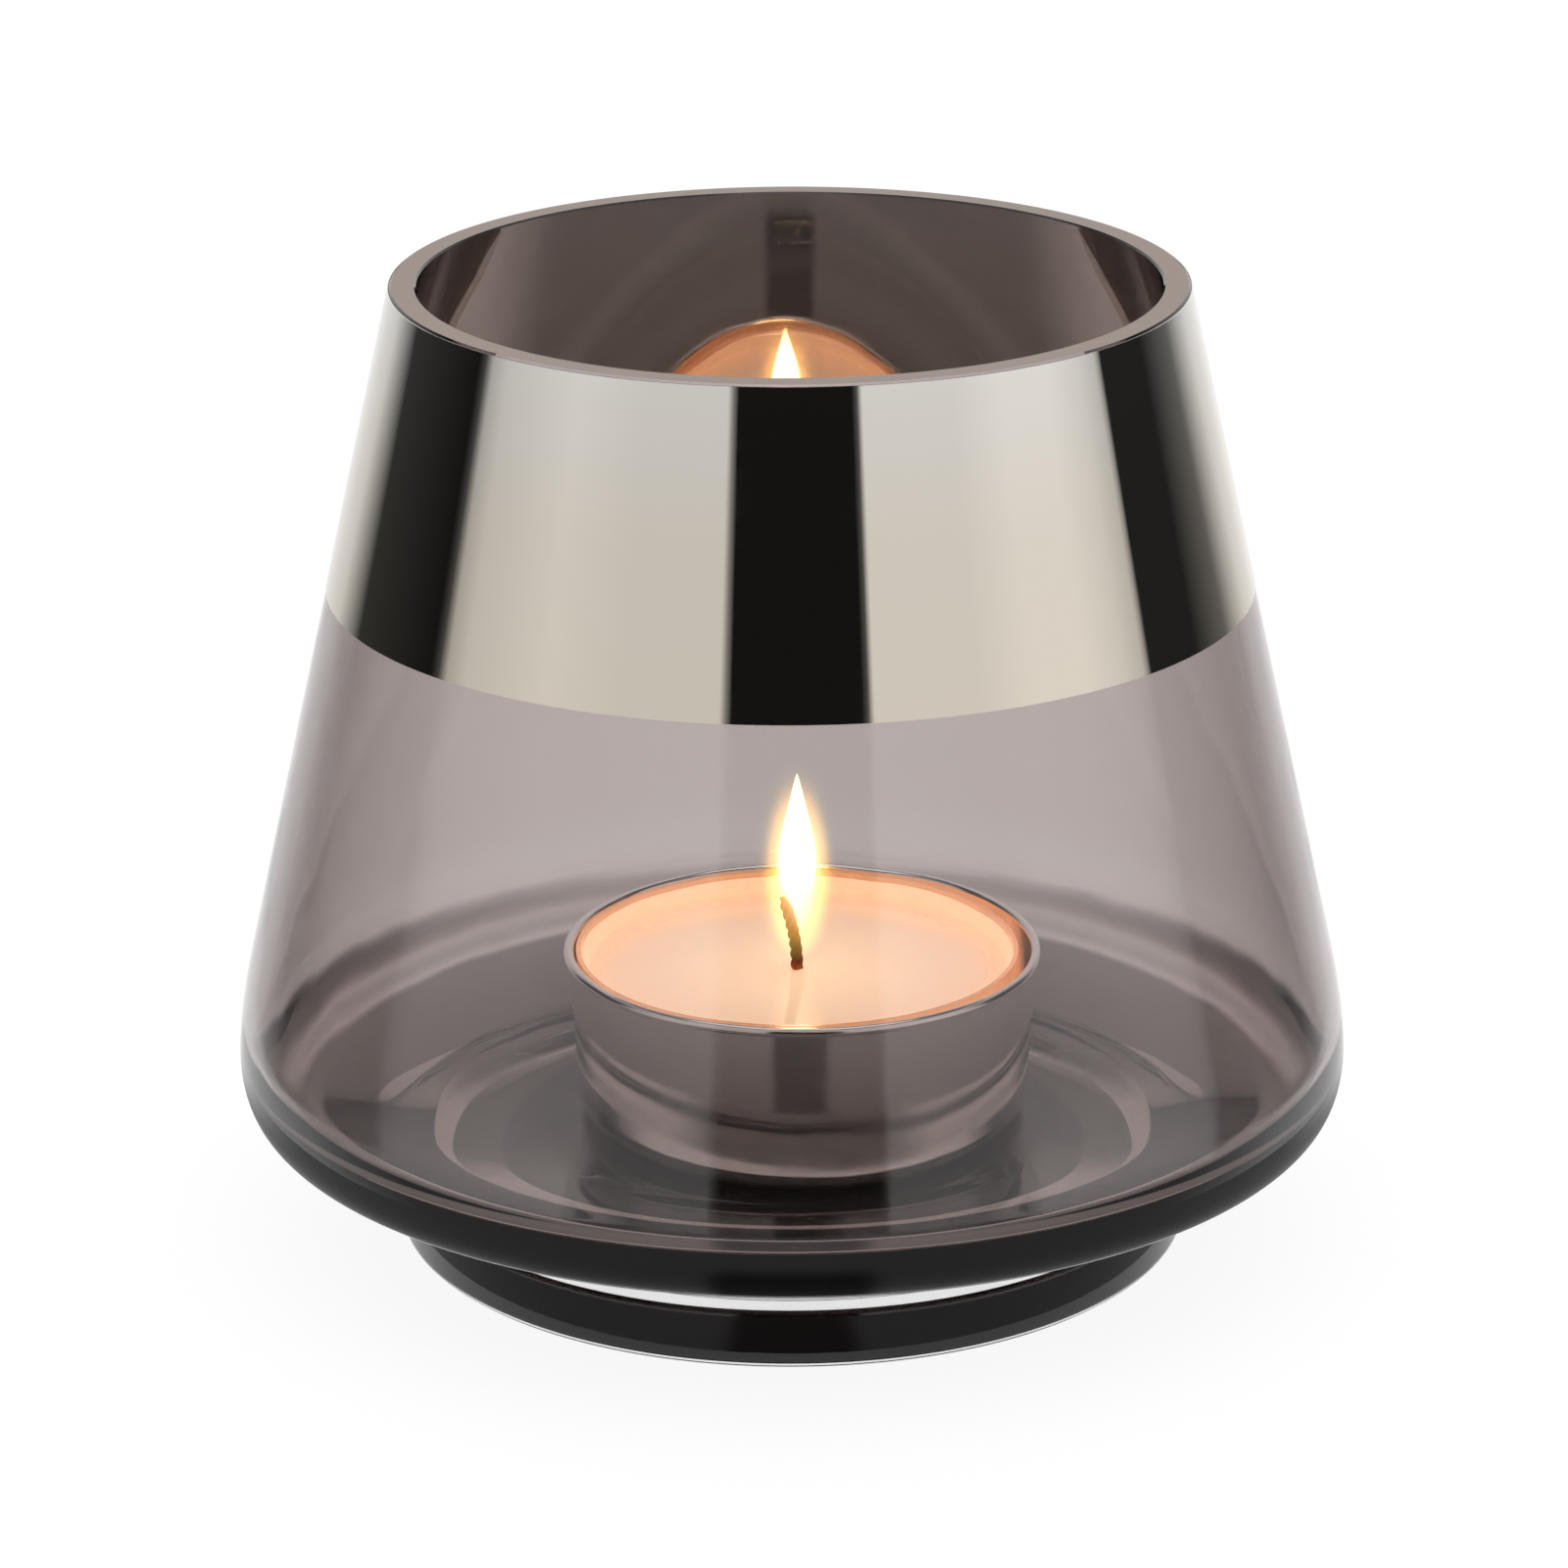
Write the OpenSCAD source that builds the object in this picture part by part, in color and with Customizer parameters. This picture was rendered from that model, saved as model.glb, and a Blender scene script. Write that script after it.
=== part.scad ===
// Tealight holder: a smoked-glass shade with a metallised rim band, fused to a clear glass foot.
// A polished metal cup stands loose on its floor and holds a tealight in a thin clear cup.
// Millimetres, +Z up, origin at the centre of the foot's underside.

/* [Glass shade] */
// Height of the rim above the table
rim_h = 80; // [74:1:90]
// Outer radius of the rim
rim_r = 31.85; // [30:0.05:33]
// Wall thickness
wall = 2.1; // [1.8:0.1:2.6]
// Outward lean of the wall for each millimetre down
wall_slope = 0.2253; // [0.2:0.0001:0.23]
// Height where the straight wall starts to round into the shoulder
shoulder_h = 23.7; // [22:0.1:26]
// Height of the flat inside floor; the glass under it is solid down to the foot
floor_h = 9.7; // [8:0.1:11]
// Radius of the flat inside floor
floor_r = 21; // [20:0.5:23]

/* [Rim band] */
// Height of the band's lower edge
band_h = 55.2; // [50:0.1:65]
// Thickness of the metal layer
band_t = 0.08; // [0.05:0.01:0.15]

/* [Foot] */
// Radius of the clear glass foot
foot_r = 32.7; // [31:0.1:34]
// Height of the foot
foot_h = 5; // [4.5:0.1:6]
// Rounding of the foot's lower edge
foot_edge = 1; // [0.5:0.1:1.5]
// Rounding of its upper edge
foot_top_edge = 0.5; // [0.3:0.1:1]

/* [Metal cup] */
// Sideways place of the loose cup on the floor
cup_x = 0.87; // [-2:0.01:2]
// Height of the cup
cup_h = 14; // [13.7:0.1:16]
// Outer radius under the rolled rim
cup_r = 19.25; // [19:0.05:20]
// Outer radius where the side meets the rounded corner
cup_base_r = 18.5; // [18.4:0.05:18.8]
// Outer radius of that corner
cup_corner = 1.6; // [1:0.1:2]
// Thickness of the sheet metal
cup_t = 0.3; // [0.2:0.05:0.35]
// Radius of the rolled rim
bead_r = 0.4; // [0.35:0.05:0.5]

/* [Tealight] */
// Sideways place of the tealight
candle_x = 0.45; // [0.4:0.01:0.87]
// Height of the clear candle cup
candle_h = 13.4; // [12.5:0.1:14]
// Outer radius of the candle cup's lip
candle_r = 18.25; // [17.5:0.05:18.25]
// Outer radius of its base
candle_base_r = 17.3; // [16.5:0.05:17.3]
// Wall thickness of the candle cup
candle_t = 0.35; // [0.25:0.05:0.5]
// Height of the wax in the cup
wax_h = 11; // [8:0.1:11.5]
// Radius of the wick
wick_r = 0.75; // [0.6:0.05:0.9]
// Length of wick that stands out of the wax
wick_out = 6.6; // [3:0.1:9]
// Radius that the burnt end bends to
wick_bend = 17; // [14:1:40]
// Radius of the sustainer's disc
sustainer_r = 7; // [5:0.5:8]
// Height of the sustainer's neck
neck_h = 3; // [2:0.1:5]

/* [Hidden] */
$fn = 128;

shoulder_pull = 15.8;     // how far the shoulder curve follows the wall's direction
underside_pull = 3.9;     // how far it follows the underside's direction
underside_edge = [38.9, 9.9];
underside_tilt = 30;
inside_h = 20;            // height where the inside leaves the parallel wall
inside_pull = 6.3;        // how far the inside curve follows the wall's direction
inside_low = [43.5, 13.7]; // control point that draws it in towards the floor
curve_steps = 28;
seat_gap = 0.05;          // clearance under each loose piece
corner_steps = 10;
candle_corner = 1.2;
sheet_t = 0.3;            // thickness of the sustainer's disc
neck_r = 1.35;

cup_z = floor_h + seat_gap;
candle_z = cup_z + cup_t + seat_gap;
wax_z = candle_z + candle_t;
wax_top = wax_z + wax_h;

// Outer radius of the straight wall at height z.
function wall_r(z) = rim_r + wall_slope * (rim_h - z);

// Point of the Bezier curve with the control points p, at t from 0 to 1.
function mix(a, b, t) = a + (b - a) * t;
function bezier(p, t) =
    len(p) == 1 ? p[0] : bezier([for (i = [0:len(p) - 2]) mix(p[i], p[i + 1], t)], t);

// The shoulder runs from the wall round to the underside, which goes straight on to the foot.
shoulder = [
    [wall_r(shoulder_h), shoulder_h],
    [wall_r(shoulder_h), shoulder_h] + shoulder_pull * [wall_slope, -1],
    underside_edge + underside_pull * [cos(underside_tilt), sin(underside_tilt)],
    underside_edge
];
bond_r = underside_edge[0] - (underside_edge[1] - foot_h) / tan(underside_tilt);
steps = [for (i = [0:curve_steps]) i / curve_steps];
outer_curve = concat([for (t = steps) bezier(shoulder, t)], [[bond_r, foot_h]]);

// The inside leaves the wall higher up and sweeps down to the flat floor, so the base is thick.
across = wall * norm([1, wall_slope]);
inside_start = [wall_r(inside_h) - across, inside_h];
inside = [
    inside_start,
    inside_start + inside_pull * [wall_slope, -1],
    inside_low,
    [floor_r, floor_h]
];
inner_curve = [for (t = steps) bezier(inside, t)];

// Quarter circle about centre c, from angle a to a + 90 degrees.
function quarter(c, r, a) =
    [for (i = [0:corner_steps]) c + r * [cos(a + 90 * i / corner_steps), sin(a + 90 * i / corner_steps)]];

// Outline of a tapered cup's body: base radius rb, top radius rt, from z0 to z1, corner radius c.
function cup_outline(rb, rt, z0, z1, c) =
    concat([[0, z0]], quarter([rb - c, z0 + c], c, -90), [[rt, z1], [0, z1]]);

function reversed(p) = [for (i = [len(p) - 1:-1:0]) p[i]];

// Solid turned from the cup outline, and the same with its inside taken out.
module cup_body(rb, rt, z0, z1, c) {
    rotate_extrude() polygon(cup_outline(rb, rt, z0, z1, c));
}

module cup_shell(rb, rt, z0, z1, c, t) {
    outside = cup_outline(rb, rt, z0, z1, c);
    inside = cup_outline(rb - t, rt - t, z0 + t, z1, c - t);
    rotate_extrude() polygon(concat([for (i = [0:len(outside) - 2]) outside[i]],
                                    reversed([for (i = [0:len(inside) - 2]) inside[i]])));
}

module glass_bowl() {
    color([0.35, 0.32, 0.33, 0.45])
        rotate_extrude()
            polygon(concat([[rim_r, rim_h]], outer_curve, [[0, foot_h], [0, floor_h]],
                           reversed(inner_curve),
                           [[rim_r - across, rim_h]]));
}

module platinum_band() {
    color([0.86, 0.84, 0.8, 0.9])
        rotate_extrude()
            polygon([[wall_r(band_h), band_h], [wall_r(band_h) + band_t, band_h],
                     [rim_r + band_t, rim_h], [rim_r, rim_h]]);
}

module glass_foot() {
    color([0.93, 0.95, 0.95, 0.4])
        rotate_extrude()
            polygon(concat([[0, 0]],
                           quarter([foot_r - foot_edge, foot_edge], foot_edge, -90),
                           quarter([foot_r - foot_top_edge, foot_h - foot_top_edge], foot_top_edge, 0),
                           [[0, foot_h]]));
}

module metal_cup() {
    bead_z = cup_z + cup_h - bead_r;
    color([0.72, 0.71, 0.71])
        translate([cup_x, 0, 0]) {
            cup_shell(cup_base_r, cup_r, cup_z, bead_z, cup_corner, cup_t);
            rotate_extrude() translate([cup_r, bead_z]) circle(r = bead_r, $fn = 32);
        }
}

module candle_cup() {
    color([0.98, 0.93, 0.88, 0.5])
        translate([candle_x, 0, 0])
            cup_shell(candle_base_r, candle_r, candle_z, candle_z + candle_h, candle_corner, candle_t);
}

module wax() {
    // The cup's inner radius at the height of the melted surface.
    rise = (wax_top - candle_z - candle_corner) / (candle_h - candle_corner);
    wax_r = mix(candle_base_r, candle_r, rise) - candle_t;
    color([0.98, 0.82, 0.66])
        translate([candle_x, 0, 0])
            difference() {
                cup_body(candle_base_r - candle_t, wax_r, wax_z, wax_top, candle_corner - candle_t);
                sustainer_outside();
                translate([0, 0, wax_z]) cylinder(r = wick_r, h = wax_h + 1);
            }
}

module sustainer_outside() {
    translate([0, 0, wax_z]) cylinder(r = sustainer_r, h = sheet_t);
    translate([0, 0, wax_z]) cylinder(r = neck_r, h = sheet_t + neck_h);
}

module wick_sustainer() {
    color([0.75, 0.75, 0.76])
        translate([candle_x, 0, 0])
            difference() {
                sustainer_outside();
                translate([0, 0, wax_z - 1]) cylinder(r = wick_r, h = neck_h + 3);
            }
}

module wick() {
    bend_angle = wick_out / wick_bend * 180 / PI;
    color([0.12, 0.1, 0.09])
        translate([candle_x, 0, 0]) {
            translate([0, 0, wax_z]) cylinder(r = wick_r, h = wax_h, $fn = 32);
            translate([-wick_bend, 0, wax_top])
                rotate([90, 0, 0])
                    rotate_extrude(angle = bend_angle)
                        translate([wick_bend, 0]) circle(r = wick_r, $fn = 32);
        }
}

glass_bowl();
platinum_band();
glass_foot();
metal_cup();
candle_cup();
wax();
wick();
wick_sustainer();
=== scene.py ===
"""Smoked-glass tealight holder with a lit tealight: the looks, built round the CAD frame.

Metres, +Z up, origin at the centre of the foot's underside; the front is -Y.
Outlines are lists of (radius, height) in millimetres, turned about the upright axis.
"""
import math

import bmesh
import bpy
from mathutils import Matrix, Vector


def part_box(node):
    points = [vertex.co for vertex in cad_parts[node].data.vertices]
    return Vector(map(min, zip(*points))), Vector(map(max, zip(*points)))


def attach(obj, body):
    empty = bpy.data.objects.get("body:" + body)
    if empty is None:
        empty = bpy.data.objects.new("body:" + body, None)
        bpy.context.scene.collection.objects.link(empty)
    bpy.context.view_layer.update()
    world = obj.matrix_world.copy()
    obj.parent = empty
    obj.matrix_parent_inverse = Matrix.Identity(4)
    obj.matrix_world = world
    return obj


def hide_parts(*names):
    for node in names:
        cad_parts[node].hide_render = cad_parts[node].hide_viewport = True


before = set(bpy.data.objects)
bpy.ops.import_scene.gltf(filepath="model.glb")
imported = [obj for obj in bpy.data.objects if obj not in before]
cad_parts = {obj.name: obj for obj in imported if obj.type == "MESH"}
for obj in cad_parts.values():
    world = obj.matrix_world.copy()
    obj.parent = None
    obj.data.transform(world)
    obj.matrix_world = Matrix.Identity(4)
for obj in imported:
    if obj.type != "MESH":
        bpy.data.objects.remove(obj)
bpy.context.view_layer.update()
scene = bpy.context.scene
scene.view_settings.view_transform = "Standard"
scene.cycles.max_bounces = 32
scene.cycles.transmission_bounces = 32
scene.cycles.glossy_bounces = 12
scene.cycles.transparent_max_bounces = 32

MM = 0.001
TURN_STEPS = 192
SHARP_DEGREES = 25

# Heights and radii that the frame gives, in millimetres.
FOOT_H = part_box("glass_foot")[1].z / MM
FOOT_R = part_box("glass_foot")[1].x / MM
RIM_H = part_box("glass_bowl")[1].z / MM
BAND_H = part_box("platinum_band")[0].z / MM
BAND_T = 0.08
CUP_LOW, CUP_HIGH = (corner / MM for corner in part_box("metal_cup"))
CANDLE_LOW, CANDLE_HIGH = (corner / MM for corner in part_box("candle_cup"))
WAX_LOW, WAX_HIGH = (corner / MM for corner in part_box("wax"))
CUP_X = (CUP_LOW.x + CUP_HIGH.x) / 2
CANDLE_X = (CANDLE_LOW.x + CANDLE_HIGH.x) / 2
CANDLE_R = (CANDLE_HIGH.x - CANDLE_LOW.x) / 2
CUP_R = (CUP_HIGH.x - CUP_LOW.x) / 2
WICK_OUT = 6.5
WICK_BEND = 17.0

# The flame, from the melted wax upwards.
FLAME_LOW = WAX_HIGH.z + 6.2
FLAME_TIP = WAX_HIGH.z + 17.0
FLAME_R = 1.7
VEIL_LOW = WAX_HIGH.z + 0.4
VEIL_TIP = WAX_HIGH.z + 19.5
VEIL_CENTRE = WAX_HIGH.z + 8.5
VEIL_R = 4.4

# The shade's own shape, as it was designed. RIM_R is a hair under the CAD's, to stay inside its box.
RIM_R = 31.83
WALL = 2.1
WALL_SLOPE = 0.2253
RIM_EDGE = 0.15
SHOULDER_H = 23.7
SHOULDER_PULL = 15.8
UNDERSIDE = (38.9, 9.9)
UNDERSIDE_PULL = 3.9
UNDERSIDE_TILT = math.radians(30)
INSIDE_H = 20.0
INSIDE_PULL = 6.3
INSIDE_LOW = (43.5, 13.7)
FLOOR = (21.0, 9.7)
FOOT_EDGE = 1.0
FOOT_TOP_EDGE = 0.5
BOND_R = UNDERSIDE[0] - (UNDERSIDE[1] - FOOT_H) / math.tan(UNDERSIDE_TILT)
BOND_GAP = 0.02
GLASS_IOR = 1.52

# The studio: how bright the tent and the table are round the compass, as (degrees, brightness).
# The degrees start at the front and grow towards +X.
TENT_WALLS = [(-180, 1.0), (-160, 0.9), (-144, 0.75), (-135, 0.35), (-128, 0.04), (-95, 0.01),
              (-92, 0.1), (-90.5, 0.5), (-84, 0.72), (-60, 0.88), (-40, 0.8), (-16, 0.8), (-15.2, 0.01),
              (18.2, 0.01), (19, 0.88), (45, 0.88), (60, 1.0), (75, 1.0), (86, 0.85), (93.5, 0.65),
              (95.5, 0.02), (114, 0.02), (120, 0.07), (130, 0.15), (138, 0.5), (146, 0.8), (162, 1.0),
              (180, 1.0)]
TABLE = [(-180, 1.0), (-115, 1.0), (-85, 0.4), (85, 0.4), (115, 1.0), (180, 1.0)]
# Painted light and shade on the table near the foot: shade round it, darkest in a narrow wedge at the
# front; pools of light in front of it, beside it and along its edge; painted shadow under it.
SHADE_ROUND_FOOT = [(-180, 0.36), (-12, 0.36), (-9, 0.1), (9, 0.1), (12, 0.36), (180, 0.36)]
LIGHT_FRONT = [(-180, 0.12), (-80, 0.12), (-62, 1.0), (62, 1.0), (80, 0.12), (180, 0.12)]
LIGHT_SIDE = [(-180, 0.3), (-115, 0.3), (-100, 1.0), (-50, 1.0), (-35, 0.3), (35, 0.3), (50, 1.0),
              (100, 1.0), (115, 0.3), (180, 0.3)]
DARK = [(-180, 0.02), (180, 0.02)]
LIGHT_EDGE = [(-180, 0.9), (180, 0.9)]

# The rings of painted shadow, light and shade on the table, from the middle out; the painted shade round
# the foot fades into the table's tones between the last two radii.
RING_Z = -0.3
DARK_DISC_R = 25.5
POOL_R = 29.5
POOL_SIDE_R = 33.2
EDGE_R = 36.0
SHADE_FADE_R = 54.0
SHADE_END_R = 68.0
TABLE_SIZE = 4.0
TABLE_Z = -0.1


# ---------------------------------------------------------------- camera
def make_camera():
    """A long lens about half a metre off, looking down at the holder."""
    tilt_down, roll_by = math.radians(19.178), -0.0029
    lens = bpy.data.cameras.new("camera")
    lens.lens = 134.9
    lens.sensor_width = 36
    lens.shift_x = -0.0046
    lens.clip_start = 0.01
    camera = bpy.data.objects.new("camera", lens)
    camera.location = (0, -0.4542, 0.1955)
    tilt = Matrix.Rotation(math.radians(90) - tilt_down, 4, "X")
    roll = Matrix.Rotation(roll_by, 4, "Z")
    camera.matrix_world = Matrix.Translation(camera.location) @ tilt @ roll
    scene.collection.objects.link(camera)
    scene.camera = camera


# ---------------------------------------------------------------- material helpers
def linear(hex_colour):
    """An sRGB hex colour as linear RGBA."""
    channels = [int(hex_colour[i:i + 2], 16) / 255 for i in (1, 3, 5)]
    return [c / 12.92 if c <= 0.04045 else ((c + 0.055) / 1.055) ** 2.4 for c in channels] + [1.0]


def add(tree, kind, settings=None, **inputs):
    """Adds a node. Settings are its own; inputs are values or the output sockets to link."""
    node = tree.nodes.new("ShaderNode" + kind)
    for name, value in (settings or {}).items():
        setattr(node, name, value)
    for name, value in inputs.items():
        key = int(name[1:]) if name[0] == "_" else name.replace("_", " ")
        if isinstance(value, bpy.types.NodeSocket):
            tree.links.new(value, node.inputs[key])
        else:
            node.inputs[key].default_value = value
    return node


def new_material(name):
    """An empty material and its node tree."""
    material = bpy.data.materials.new(name)
    material.use_nodes = True
    material.node_tree.nodes.clear()
    return material, material.node_tree


def stops(ramp, *tones):
    """Sets a colour ramp's stops, as (position, hex colour)."""
    while len(ramp.color_ramp.elements) < len(tones):
        ramp.color_ramp.elements.new(0.5)
    for element, (position, tone) in zip(ramp.color_ramp.elements, tones):
        element.position = position
        element.color = linear(tone)


def compass(tree, part):
    """Direction from the front, 0.5 there and growing towards +X, from separated coordinates."""
    front = add(tree, "Math", {"operation": "MULTIPLY"}, _0=part.outputs["Y"], _1=-1.0)
    turn = add(tree, "Math", {"operation": "ARCTAN2"}, _0=part.outputs["X"], _1=front.outputs[0])
    share = add(tree, "MapRange", Value=turn.outputs[0], From_Min=-math.pi, From_Max=math.pi)
    return share.outputs[0]


def finish_surface(tree, shader, volume=None):
    """Links the material's output."""
    output = add(tree, "OutputMaterial", Surface=shader.outputs[0])
    if volume:
        tree.links.new(volume.outputs[0], output.inputs["Volume"])


# ---------------------------------------------------------------- materials
def fused_ior(tree, height):
    """The glass's index, and 1 on the disc at that height where the shade and the foot are one."""
    near = 5e-6
    part = add(tree, "SeparateXYZ", Vector=add(tree, "TexCoord").outputs["Object"])
    along = add(tree, "CombineXYZ", X=part.outputs["X"], Y=part.outputs["Y"])
    radius = add(tree, "VectorMath", {"operation": "LENGTH"}, Vector=along.outputs[0])
    within = add(tree, "Math", {"operation": "LESS_THAN"}, _0=radius.outputs["Value"], _1=BOND_R * MM)
    level = add(tree, "Math", {"operation": "COMPARE"}, _0=part.outputs["Z"], _1=height * MM, _2=near)
    disc = add(tree, "Math", {"operation": "MULTIPLY"}, _0=within.outputs[0], _1=level.outputs[0])
    return add(tree, "MapRange", Value=disc.outputs[0], To_Min=GLASS_IOR, To_Max=1.0).outputs[0]


def glass_smoked():
    """Soda-lime glass melted with a grey colour: it darkens with depth, slightly mauve."""
    material, tree = new_material("smoked_glass_fire_polished")
    where = add(tree, "TexCoord").outputs["Object"]
    # Blown glass is never quite even: slow waves a few hundredths of a millimetre high.
    blown = add(tree, "TexNoise", Vector=where, Scale=1 / (9 * MM), Detail=1.0)
    waves = add(tree, "Bump", Height=blown.outputs[0], Strength=1.0, Distance=0.05 * MM)
    shader = add(tree, "BsdfPrincipled", Base_Color=(1, 1, 1, 1), Roughness=0.0,
                 IOR=fused_ior(tree, FOOT_H), Transmission_Weight=1.0, Normal=waves.outputs[0])
    depth = add(tree, "VolumeAbsorption", Color=(0.348, 0.22, 0.192, 1), Density=250.0)
    finish_surface(tree, shader, depth)
    return material


def glass_clear():
    """Clear polished glass: colourless, seen only by what it mirrors and bends."""
    material, tree = new_material("clear_glass_polished")
    shader = add(tree, "BsdfPrincipled", Base_Color=(1, 1, 1, 1), Roughness=0.0,
                 IOR=fused_ior(tree, FOOT_H - BOND_GAP), Transmission_Weight=1.0)
    finish_surface(tree, shader)
    return material


def glass_ground():
    """The rim's face, ground flat and left satin: it scatters what falls on it."""
    material, tree = new_material("smoked_glass_ground")
    shader = add(tree, "BsdfPrincipled", Base_Color=linear("#a89a92"), Roughness=0.6, IOR=GLASS_IOR,
                 Specular_IOR_Level=0.1)
    finish_surface(tree, shader)
    return material


def platinum():
    """A fired platinum lustre: a warm mirror, painted a shade whiter towards the rim for the whiter light
    it reflects there, with faint wiping streaks.
    """
    material, tree = new_material("platinum_lustre_fired")
    where = add(tree, "TexCoord").outputs["Object"]
    part = add(tree, "SeparateXYZ", Vector=where)
    # Painted reflection: the colour turns a shade whiter towards the rim, standing in for the whiter light
    # the band reflects up there.
    up = add(tree, "MapRange", Value=part.outputs["Z"], From_Min=BAND_H * MM, From_Max=RIM_H * MM)
    tone = add(tree, "ValToRGB", Fac=up.outputs[0])
    stops(tone, (0.0, "#dad1c3"), (0.5, "#d9d1c5"), (1.0, "#dcd8d2"))
    long = add(tree, "Mapping", Vector=where, Scale=(1, 1, 9))
    wiped = add(tree, "TexNoise", Vector=long.outputs[0], Scale=1 / (14 * MM), Detail=4.0)
    gloss = add(tree, "MapRange", Value=wiped.outputs[0], From_Min=0.35, From_Max=0.7, To_Min=0.012,
                To_Max=0.045)
    shader = add(tree, "BsdfPrincipled", Base_Color=tone.outputs[0], Metallic=1.0,
                 Roughness=gloss.outputs[0], Alpha=0.993)
    finish_surface(tree, shader)
    return material


def steel_polished():
    """Thin stainless steel, polished and handled: reflections that waver about every 11 mm."""
    material, tree = new_material("stainless_steel_polished")
    where = add(tree, "TexCoord").outputs["Object"]
    waver = add(tree, "TexNoise", Vector=where, Scale=90.0, Detail=1.0)
    bump = add(tree, "Bump", Height=waver.outputs[0], Strength=0.3, Distance=0.0005)
    handled = add(tree, "TexNoise", Vector=where, Scale=1 / (7 * MM), Detail=5.0)
    gloss = add(tree, "MapRange", Value=handled.outputs[0], From_Min=0.35, From_Max=0.7, To_Min=0.05,
                To_Max=0.16)
    shader = add(tree, "BsdfPrincipled", Base_Color=linear("#f2efed"), Metallic=1.0,
                 Roughness=gloss.outputs[0], Normal=bump.outputs[0])
    finish_surface(tree, shader)
    return material


def plastic_clear():
    """The tealight's own cup: thin moulded polycarbonate, hazy, with a faint painted glow for the lit wax
    shining through it.
    """
    material, tree = new_material("polycarbonate_with_painted_glow")
    # Painted glow: the faint orange emission stands in for the lit wax's light coming through the cup.
    shader = add(tree, "BsdfPrincipled", Base_Color=linear("#ffe9d3"), Roughness=0.2, IOR=1.58,
                 Transmission_Weight=0.6, Emission_Color=linear("#ffb27a"), Emission_Strength=0.15)
    finish_surface(tree, shader)
    return material


def paraffin():
    """Paraffin lit from the flame above it: a wet pool, a crystalline edge, and painted peach light from
    inside, brightest in the middle, standing in for the flame's light in the wax.
    """
    material, tree = new_material("paraffin_with_painted_glow")
    where = add(tree, "TexCoord").outputs["Object"]
    centred = add(tree, "Mapping", Vector=where, Location=(-CANDLE_X * MM, 0, -WAX_HIGH.z * MM))
    part = add(tree, "SeparateXYZ", Vector=centred.outputs[0])
    flat = add(tree, "CombineXYZ", X=part.outputs["X"], Y=part.outputs["Y"])
    radius = add(tree, "VectorMath", {"operation": "LENGTH"}, Vector=flat.outputs[0])
    cloud = add(tree, "TexNoise", Vector=where, Scale=1 / (4 * MM), Detail=3.0)
    spread = add(tree, "MapRange", Value=cloud.outputs[0], To_Min=-2.0 * MM, To_Max=2.0 * MM)
    uneven = add(tree, "Math", {"operation": "ADD"}, _0=radius.outputs["Value"], _1=spread.outputs[0])
    # Painted glow: the emission colour stands in for the flame's light in the wax, brightest in the middle
    # and a shade deeper at the edge.
    out = add(tree, "MapRange", Value=uneven.outputs[0], From_Max=CANDLE_R * MM)
    glow = add(tree, "ValToRGB", Fac=out.outputs[0])
    stops(glow, (0.0, "#ffe6cc"), (0.35, "#ffe2c6"), (0.75, "#fdd8b8"), (1.0, "#facca6"))
    crystals = add(tree, "TexVoronoi", Vector=where, Scale=1 / (0.5 * MM))
    grain = add(tree, "TexNoise", Vector=where, Scale=1 / (0.25 * MM), Detail=2.0)
    rough = add(tree, "Math", {"operation": "ADD"}, _0=crystals.outputs["Distance"], _1=grain.outputs[0])
    edge = add(tree, "MapRange", {"interpolation_type": "SMOOTHSTEP"}, Value=uneven.outputs[0],
               From_Min=(CANDLE_R - 3.4) * MM, From_Max=(CANDLE_R - 1.8) * MM, To_Min=0.0, To_Max=0.5)
    bump = add(tree, "Bump", Strength=edge.outputs[0], Distance=0.2 * MM, Height=rough.outputs[0])
    wet = add(tree, "MapRange", Value=edge.outputs[0], From_Max=0.5, To_Min=0.06, To_Max=0.4)
    # The emission here is the painted glow from the ramp above, not a lamp.
    shader = add(tree, "BsdfPrincipled", Base_Color=linear("#fbdcc0"), Roughness=wet.outputs[0], IOR=1.43,
                 Subsurface_Weight=1.0, Subsurface_Scale=0.004, Normal=bump.outputs[0],
                 Emission_Color=glow.outputs[0], Emission_Strength=0.75)
    shader.inputs["Subsurface Radius"].default_value = (1.0, 0.6, 0.35)
    finish_surface(tree, shader)
    return material


def cotton_burnt():
    """Braided cotton, soaked and brown where it leaves the wax, charred above, its end glowing as a real
    ember, with a painted glow at its foot.
    """
    material, tree = new_material("cotton_braid_charred")
    where = add(tree, "TexCoord").outputs["Object"]
    part = add(tree, "SeparateXYZ", Vector=where)
    up = add(tree, "MapRange", Value=part.outputs["Z"], From_Min=WAX_HIGH.z * MM,
             From_Max=(WAX_HIGH.z + WICK_OUT) * MM)
    tone = add(tree, "ValToRGB", Fac=up.outputs[0])
    stops(tone, (0.0, "#b4683c"), (0.14, "#5e2a17"), (0.3, "#1d100c"), (0.75, "#140d0b"), (1.0, "#4a1a10"))
    # Emission, partly real and partly painted: the end glows as a real ember; the glow at the foot is
    # painted light from the flame and the lit wax around it.
    ember_and_painted_glow = add(tree, "ValToRGB", Fac=up.outputs[0])
    stops(ember_and_painted_glow, (0.0, "#5a2008"), (0.12, "#200a02"), (0.3, "#000000"), (0.8, "#1a0500"), (1.0, "#a03a10"))
    fibre = add(tree, "TexNoise", Vector=where, Scale=1 / (0.15 * MM), Detail=2.0)
    bump = add(tree, "Bump", Height=fibre.outputs[0], Strength=0.6, Distance=0.05 * MM)
    shader = add(tree, "BsdfPrincipled", Base_Color=tone.outputs[0], Roughness=0.85, Normal=bump.outputs[0],
                 Emission_Color=ember_and_painted_glow.outputs[0], Emission_Strength=1.0)
    finish_surface(tree, shader)
    return material


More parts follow.
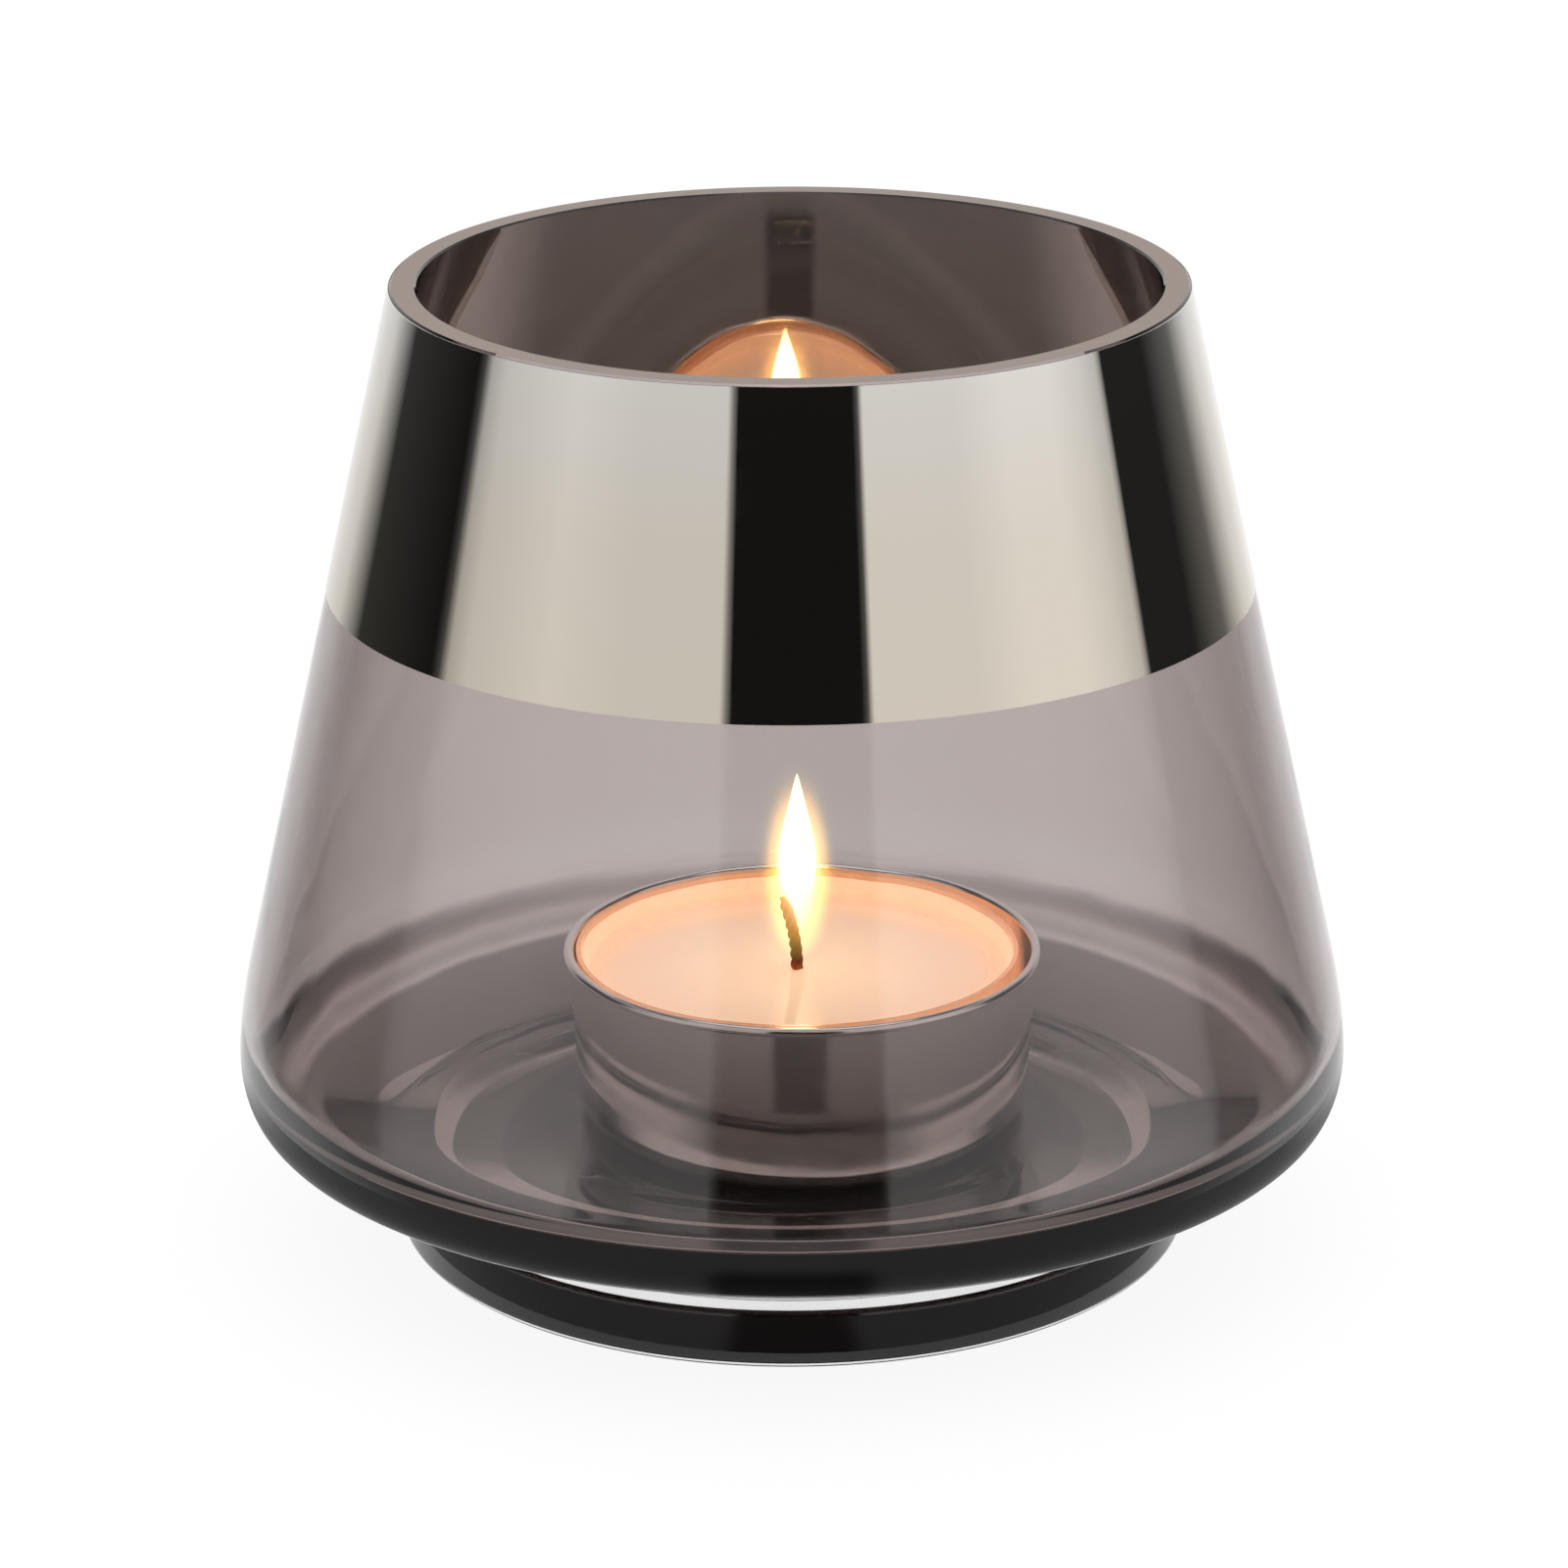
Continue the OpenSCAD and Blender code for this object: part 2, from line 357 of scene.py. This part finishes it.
def steel_tinned():
    """Thin stamped steel with a tin coat."""
    material, tree = new_material("tinned_steel_stamped")
    shader = add(tree, "BsdfPrincipled", Base_Color=linear("#c9c9c9"), Metallic=1.0, Roughness=0.3)
    finish_surface(tree, shader)
    return material


def flame_core():
    """The hot heart of a candle flame: soot burning yellow-white, far brighter than its surroundings."""
    material, tree = new_material("flame_burning_soot")
    part = add(tree, "SeparateXYZ", Vector=add(tree, "TexCoord").outputs["Object"])
    up = add(tree, "MapRange", Value=part.outputs["Z"], From_Min=(FLAME_LOW - 1.2) * MM,
             From_Max=FLAME_TIP * MM)
    tone = add(tree, "ValToRGB", Fac=up.outputs[0])
    stops(tone, (0.0, "#ff9a50"), (0.2, "#ffe0aa"), (0.8, "#ffe6b4"), (1.0, "#ffc070"))
    finish_surface(tree, add(tree, "Emission", Color=tone.outputs[0], Strength=12.0))
    return material


def flame_veil():
    """The thin outer gas: clear, with a soft yellow light that fades outwards from the core."""
    material, tree = new_material("flame_outer_gas")
    centred = add(tree, "Mapping", Vector=add(tree, "TexCoord").outputs["Object"],
                  Location=(-CANDLE_X * MM, 0, -VEIL_CENTRE * MM))
    part = add(tree, "SeparateXYZ", Vector=centred.outputs[0])
    squeezed = add(tree, "Math", {"operation": "MULTIPLY"}, _0=part.outputs["Z"], _1=0.36)
    place = add(tree, "CombineXYZ", X=part.outputs["X"], Y=part.outputs["Y"], Z=squeezed.outputs[0])
    away = add(tree, "VectorMath", {"operation": "LENGTH"}, Vector=place.outputs[0])
    fade = add(tree, "MapRange", {"interpolation_type": "SMOOTHERSTEP"}, Value=away.outputs["Value"],
               From_Min=0.9 * MM, From_Max=VEIL_R * MM, To_Min=1.0, To_Max=0.0)
    glow = add(tree, "Math", {"operation": "POWER"}, _0=fade.outputs[0], _1=2.5)
    tone = add(tree, "ValToRGB", Fac=fade.outputs[0])
    stops(tone, (0.0, "#c8b040"), (0.5, "#ffd060"), (0.85, "#ffb45c"), (1.0, "#ffd9a0"))
    strength = add(tree, "Math", {"operation": "MULTIPLY"}, _0=glow.outputs[0], _1=900.0)
    light = add(tree, "Emission", Color=tone.outputs[0], Strength=strength.outputs[0])
    finish_surface(tree, add(tree, "BsdfTransparent"), light)
    return material


# ---------------------------------------------------------------- outlines
def smooth(value, low, high):
    """0 below low, 1 above high, eased between."""
    t = min(max((value - low) / (high - low), 0), 1)
    return t * t * (3 - 2 * t)


def bezier(points, t):
    """Point of the Bezier curve with these control points, at t from 0 to 1."""
    while len(points) > 1:
        points = [a.lerp(b, t) for a, b in zip(points, points[1:])]
    return points[0]


def arc(centre, radius, start, end, steps=8):
    """Points along an arc; angles in degrees, from the outward direction."""
    turns = [math.radians(start + (end - start) * i / steps) for i in range(steps + 1)]
    return [(centre[0] + radius * math.cos(a), centre[1] + radius * math.sin(a)) for a in turns]


def wall_radius(height):
    """Outer radius of the shade's straight wall."""
    return RIM_R + WALL_SLOPE * (RIM_H - height)


def wall_rows(low):
    """Heights of the rows down the straight wall; one close under the rim holds its shading."""
    return [RIM_H - 0.5] + [RIM_H - (RIM_H - low) * i / 14 for i in range(1, 14)]


def shade_outline():
    """The shade's closed outline: rim, outside down to the bond, and inside down to the floor."""
    lean = Vector((WALL_SLOPE, -1))
    across = WALL * math.hypot(1, WALL_SLOPE)
    start = Vector((wall_radius(SHOULDER_H), SHOULDER_H))
    end = Vector(UNDERSIDE)
    rise = Vector((math.cos(UNDERSIDE_TILT), math.sin(UNDERSIDE_TILT)))
    shoulder = [start, start + SHOULDER_PULL * lean, end + UNDERSIDE_PULL * rise, end]
    start = Vector((wall_radius(INSIDE_H) - across, INSIDE_H))
    bowl = [start, start + INSIDE_PULL * lean, Vector(INSIDE_LOW), Vector(FLOOR)]
    curve_steps = 40
    steps = [i / curve_steps for i in range(curve_steps + 1)]
    rim = [(RIM_R - across, RIM_H - RIM_EDGE), (RIM_R - across + RIM_EDGE, RIM_H),
           (RIM_R - RIM_EDGE, RIM_H), (RIM_R, RIM_H - RIM_EDGE)]
    outside = [(wall_radius(z), z) for z in wall_rows(SHOULDER_H)]
    outside += [tuple(bezier(shoulder, t)) for t in steps]
    below = [tuple(end.lerp(Vector((BOND_R, FOOT_H)), t)) for t in (0.03, 0.3, 0.6, 0.97, 1.0)]
    inside = [(wall_radius(z) - across, z) for z in wall_rows(INSIDE_H)]
    inside += [tuple(bezier(bowl, t)) for t in steps]
    inside += [(FLOOR[0] * s, FLOOR[1]) for s in (0.97, 0.7, 0.3)]
    return rim, outside + below, inside


# ---------------------------------------------------------------- mesh helpers
def turned(name, outline, centre_x=0.0, steps=TURN_STEPS, closed=False):
    """A piece turned from an outline about the upright axis through centre_x."""
    shape = bmesh.new()
    points = [shape.verts.new((r * MM, 0, z * MM)) for r, z in outline]
    edges = [shape.edges.new(pair) for pair in zip(points, points[1:])]
    if closed:
        edges.append(shape.edges.new((points[-1], points[0])))
    bmesh.ops.spin(shape, geom=points + edges, cent=(0, 0, 0), axis=(0, 0, 1), angle=math.tau,
                   steps=steps, use_merge=True)
    bmesh.ops.remove_doubles(shape, verts=shape.verts, dist=1e-7)
    bmesh.ops.recalc_face_normals(shape, faces=shape.faces)
    bmesh.ops.translate(shape, verts=shape.verts, vec=(centre_x * MM, 0, 0))
    return put(name, shape)


def put(name, shape):
    """The finished bmesh as an object at the origin, smooth up to the sharp angle."""
    mesh = bpy.data.meshes.new(name)
    shape.to_mesh(mesh)
    shape.free()
    mesh.shade_smooth()
    mesh.set_sharp_from_angle(angle=math.radians(SHARP_DEGREES))
    piece = bpy.data.objects.new(name, mesh)
    scene.collection.objects.link(piece)
    return piece


def dress(piece, body, slot, *materials, replaces=()):
    """Gives a piece its materials and body; its slot is not used."""
    for material in materials:
        piece.data.materials.append(material)
    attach(piece, body)
    if replaces:
        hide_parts(*replaces)
    return piece


# ---------------------------------------------------------------- pieces
def make_shade():
    """The smoked shade with its solid base; only the rim's flat face has the ground glass."""
    rim, outside, inside = shade_outline()
    outline = rim + outside + [(0, FOOT_H), (0, FLOOR[1])] + inside[::-1]
    piece = turned("smoked_glass_shade", outline, closed=True)
    dress(piece, "glass_holder", "smoked_glass", glass_smoked(), glass_ground(), replaces=["glass_bowl"])
    for face in piece.data.polygons:
        if face.normal.z > 0.9 and face.center.z > (RIM_H - RIM_EDGE) * MM:
            face.material_index = 1
    return piece


def make_band():
    """The metal layer, a sleeve that lies a hair off the glass."""
    gap, row_count = 0.01, 8
    low, high = BAND_H, RIM_H - RIM_EDGE
    rows = [low + (high - low) * i / row_count for i in range(row_count + 1)]
    outline = [(wall_radius(z) + BAND_T, z) for z in rows]
    outline += [(wall_radius(z) + gap, z) for z in reversed(rows)]
    piece = turned("platinum_band_skin", outline, closed=True)
    return dress(piece, "glass_holder", "platinum_layer", platinum(), replaces=["platinum_band"])


def make_foot():
    """The clear disc under the shade, with a rounder lower edge."""
    top = FOOT_H - BOND_GAP
    flat = FOOT_R - FOOT_EDGE
    outline = [(0, 0), (flat * 0.98, 0)] + arc((flat, FOOT_EDGE), FOOT_EDGE, -90, 0)
    outline += arc((FOOT_R - FOOT_TOP_EDGE, top - FOOT_TOP_EDGE), FOOT_TOP_EDGE, 0, 90)
    outline += [(FOOT_R - 1.0, top), (0, top)]
    piece = turned("clear_glass_foot", outline)
    return dress(piece, "glass_holder", "clear_glass", glass_clear(), replaces=["glass_foot"])


def cup_outline(base_r, top_r, low, high, corner):
    """A tapered cup's outline from the middle of its base to its top."""
    return [(0, low)] + arc((base_r - corner, low + corner), corner, -90, 0) + [(top_r, high)]


def make_metal_cup():
    """The polished cup of thin sheet, with its rim rolled into a bead."""
    bead, sheet, corner, taper = 0.4, 0.3, 1.6, 0.75
    top_r = CUP_R - bead
    base_r = top_r - taper
    bead_z = CUP_HIGH.z - bead
    outside = cup_outline(base_r, top_r, CUP_LOW.z, bead_z, corner)
    inside = cup_outline(base_r - sheet, top_r - sheet, CUP_LOW.z + sheet, bead_z, corner - sheet)
    roll = arc((top_r, bead_z), bead, -60, 200, 16)
    outline = outside[:-1] + roll + inside[:-1][::-1]
    piece = turned("polished_metal_cup", outline, CUP_X, closed=True)
    return dress(piece, "tealight_cup", "polished_steel", steel_polished(), replaces=["metal_cup"])


def make_candle():
    """The clear cup, and the wax in it with a shallow melted surface that creeps up the wall."""
    wall, corner, taper = 0.35, 1.2, 0.95
    base_r = CANDLE_R - taper
    low, high = CANDLE_LOW.z, CANDLE_HIGH.z
    outside = cup_outline(base_r, CANDLE_R, low, high, corner)
    inside = cup_outline(base_r - wall, CANDLE_R - wall, low + wall, high, corner - wall)
    piece = turned("clear_candle_cup", outside + inside[::-1], CANDLE_X)
    dress(piece, "candle", "clear_plastic", plastic_clear(), replaces=["candle_cup"])

    gap = 0.03
    slope = (CANDLE_R - base_r) / (high - low - corner)

    def inner(z):
        return CANDLE_R - wall - gap - slope * (high - z)
    top = WAX_HIGH.z
    edge = high - 0.4
    wax_corner = 0.9
    outline = [(0, WAX_LOW.z + gap)]
    outline += arc((inner(top) - 1.6, WAX_LOW.z + gap + wax_corner), wax_corner, -90, 0)
    outline += [(inner(edge), edge), (inner(edge) - 0.15, edge)]
    outline += [(inner(top + 0.4) - 0.5, top + 0.4), (inner(top) - 1.3, top + 0.05)]
    outline += [(inner(top) * s, top) for s in (0.85, 0.6, 0.3, 0.12)] + [(0, top + 0.1)]
    piece = turned("wax_fill", outline, CANDLE_X)
    dress(piece, "candle", "paraffin", paraffin(), replaces=["wax"])
    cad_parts["wick_sustainer"].data.materials.clear()
    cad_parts["wick_sustainer"].data.materials.append(steel_tinned())


def make_wick():
    """Three twisted strands that bend over to the left, as a burnt braid does."""
    strand, twist, pitch, root, point_count = 0.27, 0.25, 2.6, 0.6, 60
    braid = bpy.data.curves.new("braided_wick", "CURVE")
    braid.dimensions = "3D"
    braid.bevel_depth = strand * MM
    braid.bevel_resolution = 3
    braid.use_fill_caps = True
    for lane in range(3):
        points = []
        for i in range(point_count + 1):
            along = -root + (WICK_OUT + root) * i / point_count
            bend = max(along, 0) / WICK_BEND
            turn = math.tau * (along / pitch + lane / 3)
            tip = 1 - 0.5 * smooth(along, WICK_OUT - 1.0, WICK_OUT)
            aside = twist * tip * math.cos(turn)
            x = WICK_BEND * (math.cos(bend) - 1) + aside * math.cos(bend)
            z = WICK_BEND * math.sin(bend) + min(along, 0) + aside * math.sin(bend)
            points.append((CANDLE_X + x, twist * tip * math.sin(turn), WAX_HIGH.z + z, tip))
        line = braid.splines.new("POLY")
        line.points.add(len(points) - 1)
        for point, (x, y, z, thick) in zip(line.points, points):
            point.co = (x * MM, y * MM, z * MM, 1)
            point.radius = thick
    piece = bpy.data.objects.new("braided_wick", braid)
    scene.collection.objects.link(piece)
    return dress(piece, "candle", "burnt_cotton", cotton_burnt(), replaces=["wick"])


def make_flame():
    """A teardrop of light round the wick; it isn't a solid part of the holder."""
    core_rows, veil_rows = 40, 24
    outline = [(0, FLAME_LOW)]
    for i in range(1, core_rows):
        t = i / core_rows
        belly = math.sin(math.pi * t ** 0.66) ** 0.85
        outline.append((FLAME_R * belly * (1 - 0.35 * t), FLAME_LOW + (FLAME_TIP - FLAME_LOW) * t))
    outline.append((0, FLAME_TIP))
    core = turned("flame_core", outline, CANDLE_X, steps=48)
    dress(core, "candle", "burnt_cotton", flame_core())
    outline = []
    for i in range(veil_rows + 1):
        t = i / veil_rows
        outline.append((VEIL_R * math.sin(math.pi * t) ** 0.7, VEIL_LOW + (VEIL_TIP - VEIL_LOW) * t))
    outline[0] = (0, VEIL_LOW)
    outline[-1] = (0, VEIL_TIP)
    veil = turned("flame_veil", outline, CANDLE_X, steps=32)
    dress(veil, "candle", "burnt_cotton", flame_veil())


# ---------------------------------------------------------------- studio
def make_floor():
    """A wide white table. The glass and the metal see the tent's own lower half instead."""
    shape = bmesh.new()
    bmesh.ops.create_grid(shape, x_segments=1, y_segments=1, size=TABLE_SIZE)
    bmesh.ops.translate(shape, verts=shape.verts, vec=(0, 0, TABLE_Z * MM))
    floor = put("studio_floor", shape)
    material, tree = new_material("white_acrylic_table")
    matt = add(tree, "BsdfDiffuse", Color=(0.15, 0.15, 0.15, 1))
    lit = add(tree, "Emission", Color=(1, 1, 1, 1), Strength=0.9)
    finish_surface(tree, add(tree, "AddShader", _0=matt.outputs[0], _1=lit.outputs[0]))
    floor.data.materials.append(material)
    floor.visible_glossy = False
    floor.visible_transmission = False
    floor.visible_diffuse = False
    floor.visible_shadow = False
    # Painted shadow under the foot, painted pools of light beside it and painted shade round it, seen only
    # by the glass and the metal.
    under_foot("studio_shadow_under_foot", 0, DARK_DISC_R, DARK)
    under_foot("studio_light_front_of_foot", DARK_DISC_R, POOL_R, LIGHT_FRONT)
    under_foot("studio_light_beside_foot", POOL_R, POOL_SIDE_R, LIGHT_SIDE)
    under_foot("studio_light_along_edge", POOL_SIDE_R, EDGE_R, LIGHT_EDGE)
    under_foot("studio_painted_shade_round_foot", EDGE_R, SHADE_END_R, SHADE_ROUND_FOOT)


def under_foot(name, inner, outer, tones):
    """A ring on the table with painted light and shade round the compass, that only the glass and the metal
    see; inner 0 makes it a disc.
    """
    shape = bmesh.new()
    bmesh.ops.create_circle(shape, cap_ends=True, segments=128, radius=outer * MM)
    if inner:
        bmesh.ops.inset_region(shape, faces=shape.faces[:], thickness=(outer - inner) * MM,
                               use_boundary=True, use_even_offset=True)
        middle = [face for face in shape.faces if len(face.verts) > 4]
        bmesh.ops.delete(shape, geom=middle, context="FACES")
    bmesh.ops.translate(shape, verts=shape.verts, vec=(0, 0, RING_Z * MM))
    ring = put(name, shape)
    material, tree = new_material(name + "_tone")
    where = add(tree, "TexCoord").outputs["Object"]
    share = compass(tree, add(tree, "SeparateXYZ", Vector=where))
    radius = add(tree, "VectorMath", {"operation": "LENGTH"}, Vector=where)
    out = add(tree, "MapRange", {"interpolation_type": "SMOOTHSTEP"}, Value=radius.outputs["Value"],
              From_Min=SHADE_FADE_R * MM, From_Max=SHADE_END_R * MM)
    tone = add(tree, "Mix", {"data_type": "RGBA"}, _0=out.outputs[0], _6=tent_ramp(tree, share, tones),
               _7=tent_ramp(tree, share, TABLE))
    finish_surface(tree, add(tree, "Emission", Color=tone.outputs[2], Strength=1.0))
    ring.data.materials.append(material)
    ring.visible_camera = False
    ring.visible_shadow = False


def tent_ramp(tree, turn, tones):
    """The brightness round the compass, from (degrees, brightness) stops."""
    node = add(tree, "ValToRGB", Fac=turn)
    while len(node.color_ramp.elements) < len(tones):
        node.color_ramp.elements.new(0.5)
    for element, (degrees, tone) in zip(node.color_ramp.elements, tones):
        element.position = degrees / 360 + 0.5
        element.color = (tone, tone, tone, 1)
    return node.outputs[0]


def make_surround():
    """A white tent: open at the front between two soft panels, with a black flag at each side."""
    world = bpy.data.worlds.new("tent")
    scene.world = world
    world.use_nodes = True
    tree = world.node_tree
    tree.nodes.clear()
    towards = add(tree, "TexCoord").outputs["Generated"]
    part = add(tree, "SeparateXYZ", Vector=towards)
    share = compass(tree, part)
    walls = tent_ramp(tree, share, TENT_WALLS)
    table = tent_ramp(tree, share, TABLE)
    height = part.outputs["Z"]
    lower = add(tree, "MapRange", {"interpolation_type": "SMOOTHSTEP"}, Value=height,
                From_Min=-0.29, From_Max=-0.26)
    roof = add(tree, "MapRange", {"interpolation_type": "SMOOTHSTEP"}, Value=height,
               From_Min=0.5, From_Max=0.75)
    around = add(tree, "Mix", {"data_type": "RGBA"}, _0=lower.outputs[0], _6=table, _7=walls)
    closed = add(tree, "Mix", {"data_type": "RGBA"}, _0=roof.outputs[0], _6=around.outputs[2],
                 _7=(1, 1, 1, 1))
    seen = add(tree, "LightPath").outputs["Is Camera Ray"]
    plain = add(tree, "Mix", {"data_type": "RGBA"}, _0=seen, _6=closed.outputs[2], _7=(1, 1, 1, 1))
    light = add(tree, "Background", Color=plain.outputs[2], Strength=1.0)
    output = tree.nodes.new("ShaderNodeOutputWorld")
    tree.links.new(light.outputs[0], output.inputs["Surface"])


make_camera()
make_surround()
make_floor()
make_shade()
make_band()
make_foot()
make_metal_cup()
make_candle()
make_wick()
make_flame()
